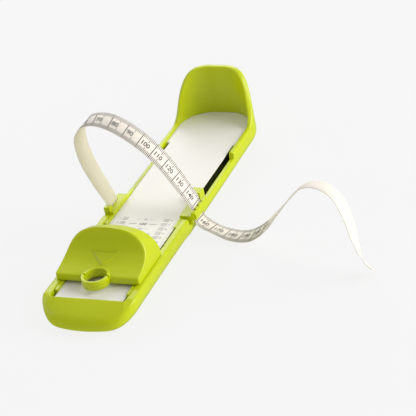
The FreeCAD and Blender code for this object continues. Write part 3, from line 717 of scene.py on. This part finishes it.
def make_shield():
    """The crowned block with its dished face, rounded at both ends and cut out for the ring."""
    turns = np.linspace(0, math.pi / 2, EDGE_POINTS)
    front = [(SLIDER_FRONT + SLIDER_EDGE * (1 - math.cos(a)), SLIDER_EDGE * (1 - math.sin(a)))
             for a in turns]
    back = [(SLIDER_BACK - SLIDER_EDGE * (1 - math.cos(a)), SLIDER_EDGE * (1 - math.sin(a)))
            for a in turns[::-1]]
    middle = [(along, 0.0) for along in np.linspace(SLIDER_FRONT + MIDDLE_INSET,
                                                    SLIDER_BACK - MIDDLE_INSET, MIDDLE_POINTS)]
    outline = shield_outline()
    rows = []
    for along, inset in front + middle + back:
        row = []
        for x, z in outline:
            crown = SLIDER_BASE + (z - SLIDER_BASE) * crown_share(along)
            height = soft_min(crown, dish(along), RIDGE_BLEND) - inset
            row.append((x * (1 - inset / SLIDER_HALF), along, max(height, SLIDER_BASE)))
        rows.append(row)
    mesh = swept_mesh("toe_slider_shell", rows, ROUND_SHARP, closed_way=False, closed_row=True)
    shell = link("toe_slider_shell", mesh, LIME)
    seat = [(0, 0), (RING_RADIUS, 0), (RING_RADIUS, SEAT_HEIGHT), (0, SEAT_HEIGHT)]
    cut_away(shell, turned("ring_seat", seat, SEAT_STEPS), ROUND_SHARP)
    return shell


def make_runners():
    """On each side: a runner in the slot, the foot below it and the neck up to the shield."""
    blocks = []
    for sign in (-1, 1):
        xs = sorted(sign * side for side in RUNNER_SIDES)
        blocks.append((xs, (RUNNER_FRONT, RUNNER_BACK), (DECK_BOTTOM - RUNNER_BELOW, RUNNER_TOP)))
        blocks.append((xs, FOOT_ENDS, (DECK_BOTTOM - FOOT_BELOW, RUNNER_TOP)))
        blocks.append((xs, (SLIDER_FRONT + NECK_INSET, RUNNER_BACK),
                       (RUNNER_TOP - NECK_INSET, SLIDER_BASE + NECK_INTO_SHIELD)))
    mesh = block_mesh("toe_slider_runners", blocks)
    return bevel(link("toe_slider_runners", mesh, LIME), RUNNER_EDGE)


def make_arrow():
    """The raised outline of a triangle on the dished face, pointing at the ring."""
    middle_y = sum(corner[1] for corner in ARROW_CORNERS) / 3
    section = ((-ARROW_HALF, -ARROW_SINK), (-ARROW_HALF * 0.5, ARROW_RISE),
               (ARROW_HALF * 0.5, ARROW_RISE), (ARROW_HALF, -ARROW_SINK))
    rows = []
    for start, end in zip(ARROW_CORNERS, ARROW_CORNERS[1:] + ARROW_CORNERS[:1]):
        for n in range(ARROW_STEPS):
            x, along = (mix(start[k], end[k], n / ARROW_STEPS) for k in (0, 1))
            towards = Vector((-x, middle_y - along)).normalized()
            row = []
            for offset, lift in section:
                shift = towards * offset * ARROW_SLANT
                row.append((x + shift.x, along + shift.y, dish(along + shift.y) + lift))
            rows.append(row)
    mesh = swept_mesh("toe_slider_arrow", rows, ARROW_SHARP, closed_way=True, closed_row=True)
    return link("toe_slider_arrow", mesh, LIME)


def make_slider():
    """The whole toe stop, apart from its ring."""
    for piece in (make_shield(), make_runners(), make_arrow()):
        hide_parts("toe_slider")
        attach(piece, "toe_stop")


def turned(name, profile, steps):
    """A closed profile of (radius, height) turned about the ring's upright axis."""
    rows = []
    for step in range(steps):
        angle = 2 * math.pi * step / steps
        rows.append([(r * math.cos(angle), RING_CENTRE + r * math.sin(angle), z)
                     for r, z in profile])
    return swept_mesh(name, rows, ROUND_SHARP, closed_way=True, closed_row=True, weld=AXIS_POINT)


def make_ring():
    """The reading ring with its rounded rim and the two index slits."""
    outer, inner, soft = RING_RADIUS - HAIR, RING_RADIUS - RING_WALL, RING_EDGE
    profile = [(inner + soft, RING_FLOOR), (outer - soft, RING_FLOOR), (outer, RING_FLOOR + soft)]
    profile += bend((outer, RING_TOP - soft), (outer, RING_TOP), (outer - soft, RING_TOP),
                    RIM_STEPS)
    profile += [(outer - soft, RING_TOP)]
    profile += bend((inner + soft, RING_TOP), (inner, RING_TOP), (inner, RING_TOP - soft),
                    RIM_STEPS)
    profile += [(inner, RING_TOP - soft), (inner, RING_FLOOR + soft)]
    mesh = turned("reading_ring_body", profile, RING_STEPS)
    ring = link("reading_ring_body", mesh, LIME)
    slit = ((-SLIT_REACH, SLIT_REACH),
            (RING_CENTRE - SLIT_WIDTH / 2, RING_CENTRE + SLIT_WIDTH / 2),
            (RING_TOP - SLIT_DEPTH, RING_TOP + SLIT_ABOVE))
    cut_away(ring, block_mesh("slit", [slit]), ROUND_SHARP)
    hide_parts("reading_ring")
    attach(ring, "toe_stop")


# ---------------------------------------------------------------- tape
def spline_points(route):
    """Points along one smooth NURBS curve, with the route as its control points, in mm."""
    data = bpy.data.curves.new("tape_line", "CURVE")
    data.dimensions = "3D"
    data.resolution_u = LINE_STEPS
    spline = data.splines.new("NURBS")
    spline.points.add(len(route) - 1)
    for spot, place in zip(spline.points, route):
        spot.co = (*(Vector(place) * MM), 1.0)
    spline.order_u = 3
    spline.use_endpoint_u = True
    mesh = curve_mesh(data)
    line = np.array([vertex.co[:] for vertex in mesh.vertices]) / MM
    bpy.data.meshes.remove(mesh)
    return line


class Tape:
    """The tape's middle line with its width and face directions, so that print can lie on it."""

    def __init__(self):
        self.line = spline_points([(x, LOOP_PLACE, z) for x, z in TAPE_LOOP] + TAPE_FREE)
        steps = np.linalg.norm(np.diff(self.line, axis=0), axis=1)
        self.along = np.concatenate([[0.0], np.cumsum(steps)])
        self.length = self.along[-1]
        tangents = np.gradient(self.line, self.along, axis=0)
        self.tangents = tangents / np.linalg.norm(tangents, axis=1)[:, None]

    def between(self, values, along):
        """The value at a length along the tape, between those of the line's points."""
        return Vector([np.interp(along, self.along, values[:, k]) for k in range(3)])

    def place(self, along, across, lift):
        """The point at a length along, a way across and a lift from the middle to the print."""
        along = min(max(along, 0.0), self.length)
        way = self.between(self.tangents, along).normalized()
        width = Vector((0, 1, 0))
        width = (width - way * width.dot(way)).normalized()
        twist = math.radians(eased(TAPE_TWIST, along / self.length))
        width = Matrix.Rotation(twist, 3, way) @ width
        face = way.cross(width)
        return self.between(self.line, along) + width * across + face * lift


def make_tape_strip(tape):
    """The flexible strip itself, printed on its upper face and cream behind."""
    half, thick, edge = TAPE_WIDTH / 2, TAPE_THICKNESS / 2, TAPE_EDGE
    section = [(-half + edge, -thick), (half - edge, -thick), (half, -thick + edge),
               (half, thick - edge), (half - edge, thick), (-half + edge, thick),
               (-half, thick - edge), (-half, -thick + edge)]
    places = np.linspace(0, tape.length, int(tape.length / STRIP_STEP))
    rows = [[tape.place(along, across, lift) for across, lift in section] for along in places]
    mesh = swept_mesh("tape_strip", rows, ROUND_SHARP, closed_way=False, closed_row=True)
    strip = link("tape_strip", mesh, TAPE_FACE, TAPE_BACK)
    for row in range(len(rows) - 1):
        mesh.polygons[row * len(section)].material_index = 1
    return strip


def text_outline(words, height):
    """Flat faces of a line of numerals, with its left end at 0 and its foot at 0, in mm."""
    data = bpy.data.curves.new("numerals", "FONT")
    data.body = words
    data.size = height / CAPITAL_SHARE
    data.offset = DIGIT_WEIGHT * height
    data.resolution_u = NUMERAL_STEPS
    mesh = curve_mesh(data)
    points = [tuple(vertex.co[:2]) for vertex in mesh.vertices]
    faces = [list(face.vertices) for face in mesh.polygons]
    bpy.data.meshes.remove(mesh)
    return points, faces


class Print:
    """Thin printed marks, gathered into one mesh over a surface that a function gives."""

    def __init__(self, surface):
        self.surface = surface
        self.points, self.faces = [], []

    def add(self, points, faces):
        base = len(self.points)
        self.points += [self.surface(x, y) for x, y in points]
        self.faces += [[base + n for n in face] for face in faces]

    def bar(self, xs, ys):
        """A rectangle, cut across its length so that it follows the surface."""
        wide, tall = abs(xs[1] - xs[0]), abs(ys[1] - ys[0])
        cuts = max(int(max(wide, tall) / BAR_STEP), 1)
        points = []
        for n in range(cuts + 1):
            if wide > tall:
                x = mix(*xs, n / cuts)
                points += [(x, ys[0]), (x, ys[1])]
            else:
                y = mix(*ys, n / cuts)
                points += [(xs[1], y), (xs[0], y)]
        self.add(points, [(2 * n, 2 * n + 2, 2 * n + 3, 2 * n + 1) for n in range(cuts)])

    def words(self, text, x, y, height, centred=False):
        points, faces = text_outline(text, height)
        if centred:
            x -= max(p[0] for p in points) / 2
        self.add([(x + px, y + py) for px, py in points], faces)

    def piece(self, name, material):
        mesh = bpy.data.meshes.new(name)
        mesh.from_pydata([Vector(p) * MM for p in self.points], [], self.faces)
        return link(name, mesh, material)


def make_tape_print(tape):
    """The marks and numbers on the tape's upper face."""
    marks = Print(lambda along, across: tape.place(along, across, TAPE_THICKNESS / 2 + INK_LIFT))
    edge = TAPE_WIDTH / 2
    for reading in range(FIRST_MARK, LAST_MARK + 1):
        along = reading - READING_AT_CLAMP
        tens = reading % 10 == 0
        width = TENS_WIDTH if tens else LINE_WIDTH
        ends = (along - width / 2, along + width / 2)
        if tens:
            marks.bar(ends, (-edge + MARK_MARGIN, edge - MARK_MARGIN))
            marks.words(str(reading), along + NUMERAL_GAP, -DIGIT_HEIGHT / 2, DIGIT_HEIGHT)
        else:
            reach = FIVES_REACH if reading % 5 == 0 else LINE_REACH
            marks.bar(ends, (-edge + MARK_MARGIN, -edge + reach))
            marks.bar(ends, (edge - reach, edge - MARK_MARGIN))
    return marks.piece("tape_print", TAPE_INK)


def make_tape():
    """The strip with its print, as one flat cord from the clamp to its tip."""
    tape = Tape()
    strip = make_tape_strip(tape)
    numbers = make_tape_print(tape)
    for piece in (strip, numbers):
        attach(piece, "tape_carriage")
    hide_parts("tape_loop", "tape_free_end")


# ---------------------------------------------------------------- plate print
def on_plate(x, y):
    return (x, y, PLATE_TOP + INK_LIFT)


def make_plate_print():
    """The foot scale: a row each 5 mm, and beside the rows a hatched block for each size."""
    dark, pale = Print(on_plate), Print(on_plate)
    for row, reading in enumerate(range(FIRST_ROW, LAST_ROW + 1, ROW_PITCH)):
        y = FIRST_ROW_PLACE - ROW_PITCH * row
        inks, (height, thick, start, end) = ((dark, STRONG_ROW) if reading % 10 == 0
                                             else (pale, FAINT_ROW))
        inks.words(str(reading), 0, y - height / 2, height, centred=True)
        for sign in (-1, 1):
            inks.bar(sorted((sign * start, sign * end)), (y - thick, y + thick))
    for number in range(FIRST_SIZE, LAST_SIZE + 1):
        y = FIRST_ROW_PLACE - SIZE_PITCH * (number - FIRST_SIZE)
        for sign, text in ((-1, str(number - LEFT_SIZE_LESS)), (1, str(number))):
            ends = sorted((sign * (SIZE_ACROSS - HATCH_HALF), sign * (SIZE_ACROSS + HATCH_HALF)))
            for line in range(HATCH_LINES):
                pale.bar(ends, [y + side + line * HATCH_PITCH for side in HATCH_LINE])
            dark.words(text, sign * (SIZE_ACROSS + SIZE_NUMERAL_OUT), y - SIZE_NUMERAL / 2,
                       SIZE_NUMERAL, centred=True)
    for name, inks, material in (("plate_print", dark, PLATE_INK),
                                 ("plate_print_pale", pale, PALE_INK)):
        piece = inks.piece(name, material)
        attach(piece, "base")


# ---------------------------------------------------------------- carriage and plain nodes
def make_carriage():
    """The tape's guide and clamp keep the construction's shapes, with their edges rounded."""
    for name, node in (("tape_guide_body", "right_tape_guide"),
                       ("tape_clamp_body", "left_tape_clamp")):
        piece = softened_copy(name, node, CARRIAGE_EDGE, LIME)
        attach(piece, "tape_carriage")


def finish_nodes():
    """The construction pieces that show as they are get their real finish."""
    finishes = {"scale_plate": WHITE, "base_cover": LIME, "cover_screws": ZINC,
                "slider_keeper": LIME, "carriage_bridge": LIME, "tape_pin": ZINC}
    for node, material in finishes.items():
        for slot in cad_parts[node].material_slots:
            slot.material = material


# ---------------------------------------------------------------- floor and light
FLOOR_REACH = 6000          # in mm
SKY_BRIGHT_SIDE = (0.45, 0.5, 0.74)
SKY_DIM, SKY_BRIGHT = 0.12, 0.66
# a name, a place and a width in metres, and a power in watts
LIGHTS = [
    ("key", (1.3, 0.3, 0.62), 1.2, 16.8),
    ("fill", (-1.0, -0.1, 0.4), 0.9, 2.4),
    ("back", (-0.5, 1.0, 0.65), 0.9, 5.0),
]


def make_stage():
    """A plain pale floor. It glows more than it reflects, so that shadows stay faint."""
    material, tree, shader, place = new_material("pale_floor")
    shade_of_grey = add_node(tree, "ShaderNodeTexNoise", {"Scale": 3.0}, Vector=place)
    tone = add_node(tree, "ShaderNodeMapRange", {"To Min": 0.09, "To Max": 0.11},
                    Value=shade_of_grey.outputs["Fac"])
    tree.links.new(tone.outputs["Result"], shader.inputs["Base Color"])
    shader.inputs["Roughness"].default_value = 0.9
    shader.inputs["Specular IOR Level"].default_value = 0.0
    shader.inputs["Emission Color"].default_value = linear("#f5f5f5")
    shader.inputs["Emission Strength"].default_value = 0.9
    signs = ((-1, -1), (1, -1), (1, 1), (-1, 1))
    corners = [(x * FLOOR_REACH, y * FLOOR_REACH, 0) for x, y in signs]
    table = link("floor", mesh_of("floor", corners, [(0, 1, 2, 3)]), material)
    table.visible_glossy = False


def area_light(name, place, size, power):
    """A round soft light that points at the object."""
    data = bpy.data.lights.new(name, "AREA")
    data.shape = "DISK"
    data.size = size
    data.energy = power
    lamp = bpy.data.objects.new(name, data)
    lamp.location = place
    lamp.rotation_euler = (-Vector(place)).to_track_quat("-Z", "Y").to_euler()
    bpy.context.scene.collection.objects.link(lamp)


def make_light():
    """A studio that is brightest above, behind and to the right.

    A low key light stands on the right, a weak fill on the left, and a third light behind on
    the left, for the gloss.
    """
    world = bpy.data.worlds.new("studio")
    bpy.context.scene.world = world
    world.use_nodes = True
    tree = world.node_tree
    sky = tree.nodes["Background"]
    sky.inputs["Color"].default_value = linear("#f7f8fa")
    way = add_node(tree, "ShaderNodeTexCoord", {}).outputs["Generated"]
    towards = add_node(tree, "ShaderNodeVectorMath", {"operation": "DOT_PRODUCT"}, Vector=way)
    towards.inputs[1].default_value = SKY_BRIGHT_SIDE
    spread = {"From Min": -1.0, "From Max": 1.0, "To Min": SKY_DIM, "To Max": SKY_BRIGHT}
    strength = add_node(tree, "ShaderNodeMapRange", spread, Value=towards.outputs["Value"])
    tree.links.new(strength.outputs["Result"], sky.inputs["Strength"])
    for light in LIGHTS:
        area_light(*light)
    bpy.context.scene.view_settings.view_transform = "Standard"


make_camera()
make_tape()
make_tray()
make_deck()
make_slider()
make_ring()
make_carriage()
make_plate_print()
finish_nodes()
make_stage()
make_light()
